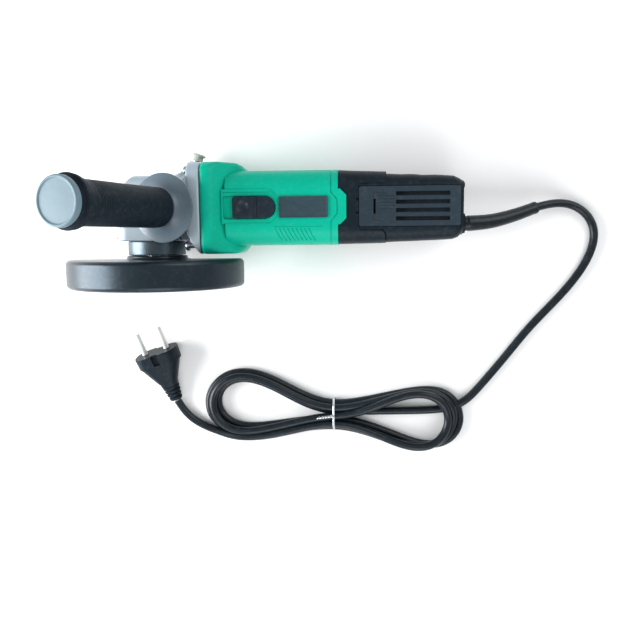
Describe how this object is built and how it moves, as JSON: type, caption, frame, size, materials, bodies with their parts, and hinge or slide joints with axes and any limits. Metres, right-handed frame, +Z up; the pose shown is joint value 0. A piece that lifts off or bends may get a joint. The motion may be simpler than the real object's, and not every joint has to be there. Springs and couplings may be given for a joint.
{
  "type": "angle grinder",
  "caption": "Corded angle grinder with a wheel guard, a leaning side handle, a slide switch and a tied hank of cord that ends in a two-pin plug.",
  "frame": {"origin": "under the middle of the tool without its cord, on the surface that it lies on", "axes": "+X from the gear head to the cord end, +Y along the spindle away from the wheel, +Z up towards the side handle"},
  "size_m": [0.4231, 0.2434, 0.1773],
  "materials": {
    "cast_aluminium": "matte cast",
    "green_plastic": "fine satin moulding",
    "black_plastic": "fine matte moulding",
    "grip_rubber": "soft matte",
    "cap_plastic": "fine matte moulding",
    "label": "satin film",
    "switch_plastic": "fine matte moulding",
    "painted_steel": "satin powder coat",
    "steel": "turned and ground",
    "dark_steel": "blackened steel",
    "copper": "enamelled copper wire",
    "carbon": "carbon",
    "brass": "plain",
    "white_plastic": "plain moulding",
    "cord_rubber": "satin cord sheath"
  },
  "bodies": {
    "body": {"gear_housing": "cast_aluminium", "bearing_box": "cast_aluminium", "spindle_bearing_outer": "steel", "spindle_bush": "brass", "lock_spring": "steel", "handle_disc": "black_plastic", "handle_grip": "grip_rubber", "handle_end_cap": "cap_plastic", "handle_stud": "steel", "motor_housing": "green_plastic", "name_plate": "label", "front_bearing_outer": "steel", "fan_baffle": "black_plastic", "stator_core": "dark_steel", "field_coil_upper": "copper", "field_coil_lower": "copper", "brush_holder_1": "brass", "brush_holder_2": "brass", "carbon_brush_1": "carbon", "carbon_brush_2": "carbon", "rear_bearing_outer": "steel", "rear_housing": "black_plastic", "vent_cover_left": "black_plastic", "vent_cover_right": "black_plastic", "switch_box": "black_plastic", "cord_protector": "cord_rubber", "cord": "cord_rubber", "cord_hank": "cord_rubber", "cord_plug_end": "cord_rubber", "twist_tie": "steel", "plug_body": "black_plastic", "plug_pin_1": "steel", "plug_pin_2": "steel", "housing_screw_1": "steel", "bearing_box_screw_1": "steel", "housing_screw_2": "steel", "bearing_box_screw_2": "steel", "housing_screw_3": "steel", "bearing_box_screw_3": "steel", "housing_screw_4": "steel", "bearing_box_screw_4": "steel"},
    "armature": {"armature_shaft": "steel", "pinion": "dark_steel", "front_bearing_inner": "steel", "fan": "white_plastic", "armature_winding": "copper", "rotor_core": "dark_steel", "commutator": "copper", "rear_bearing_inner": "steel"},
    "spindle_set": {"spindle": "steel", "crown_gear": "dark_steel", "spindle_bearing_inner": "steel", "inner_flange": "dark_steel", "flange_nut": "dark_steel"},
    "guard_set": {"guard": "painted_steel", "guard_band": "painted_steel", "guard_clamp_screw": "steel"},
    "switch": {"switch_slider": "switch_plastic", "switch_rod": "white_plastic"},
    "lock": {"lock_button": "white_plastic"}
  },
  "joints": [
    {"name": "armature_spin", "type": "hinge", "parent": "body", "child": "armature", "pos_m": [-0.03632, 0.00681, 0.034], "axis": [1, 0, 0], "continuous": true},
    {"name": "spindle_spin", "type": "hinge", "parent": "body", "child": "spindle_set", "pos_m": [-0.11632, -0.01319, 0.034], "axis": [0, 1, 0], "continuous": true},
    {"name": "guard_turn", "type": "hinge", "parent": "body", "child": "guard_set", "pos_m": [-0.11632, -0.03119, 0.034], "axis": [0, 1, 0], "range_deg": [-40, 90]},
    {"name": "switch_slide", "type": "slide", "parent": "body", "child": "switch", "axis": [-1, 0, 0], "range_m": [0, 0.0065]},
    {"name": "lock_press", "type": "slide", "parent": "body", "child": "lock", "axis": [-0.3123, -0.95, 0], "range_m": [0, 0.0028], "stiffness_N_per_m": 700}
  ],
  "couplings": [
    {"joint": "spindle_spin", "follows": "armature_spin", "ratio": 0.32432}
  ]
}
